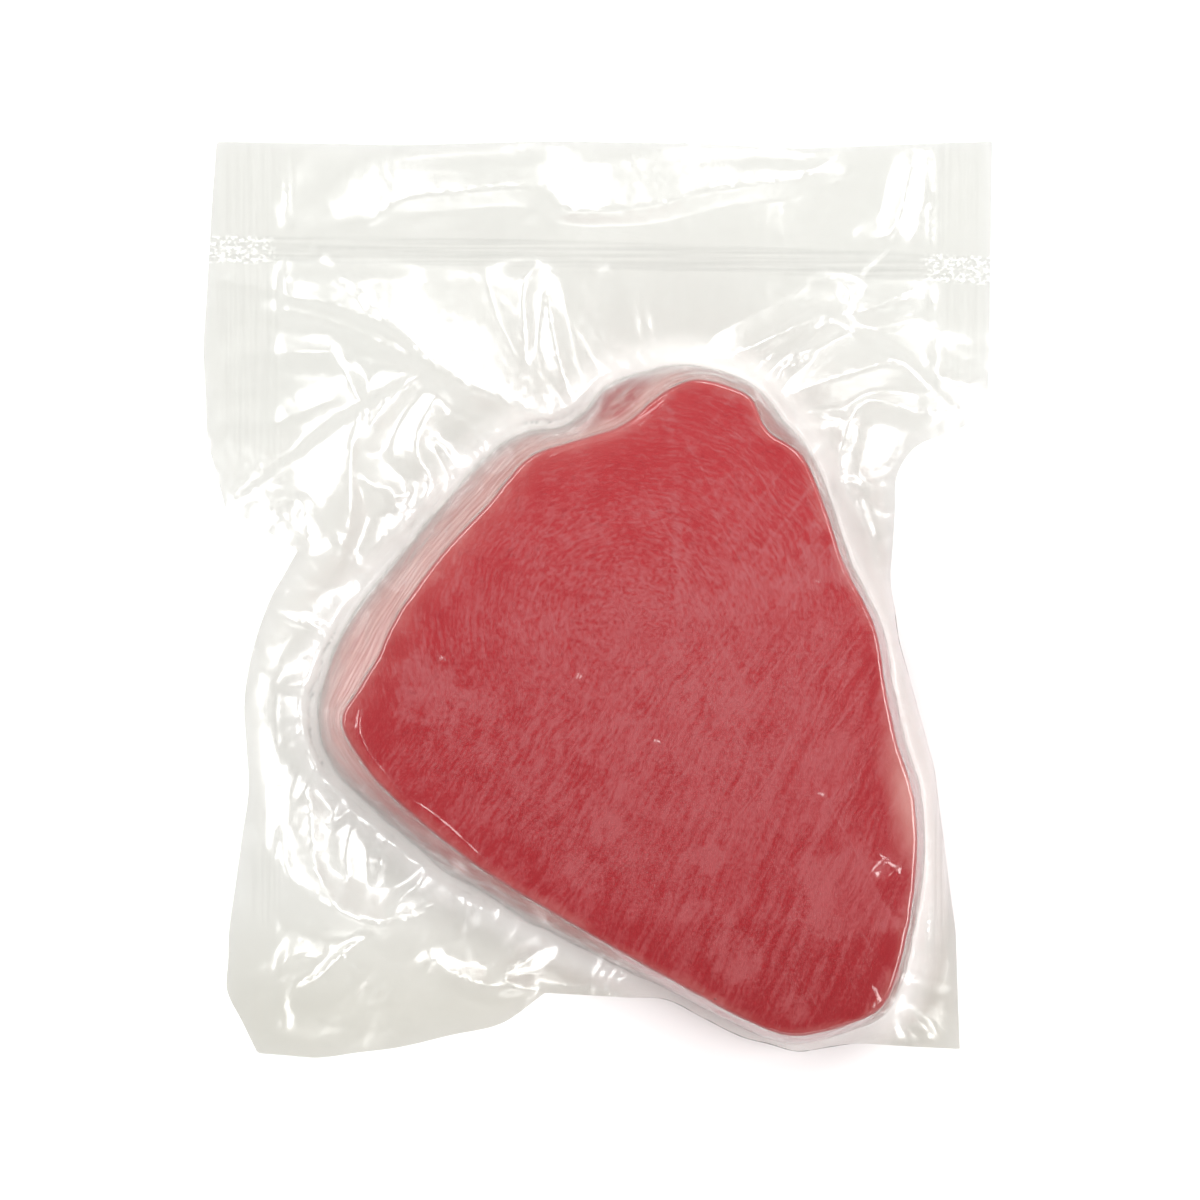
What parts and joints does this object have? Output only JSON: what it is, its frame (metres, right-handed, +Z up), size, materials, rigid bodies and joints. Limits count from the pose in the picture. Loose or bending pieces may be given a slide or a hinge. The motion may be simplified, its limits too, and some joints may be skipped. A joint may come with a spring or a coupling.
{
  "type": "vacuum-packed raw tuna steak",
  "caption": "Thick raw tuna steak with a rounded triangular cut face, sealed in a clear vacuum pouch with creased margins.",
  "frame": {"origin": "under the middle of the pouch's outline, on the surface that the pack lies on", "axes": "+Z up out of the steak's shown cut face, +Y from the steak's wide end towards the pouch's open mouth, +X to the right as seen from above"},
  "size_m": [0.1826, 0.212, 0.0259],
  "materials": {
    "raw_tuna": "moist raw fish, frosted",
    "pouch_film": "clear gloss plastic film"
  },
  "bodies": {
    "root": {"steak": "raw_tuna", "front_film": "pouch_film", "back_film": "pouch_film"}
  },
  "joints": []
}
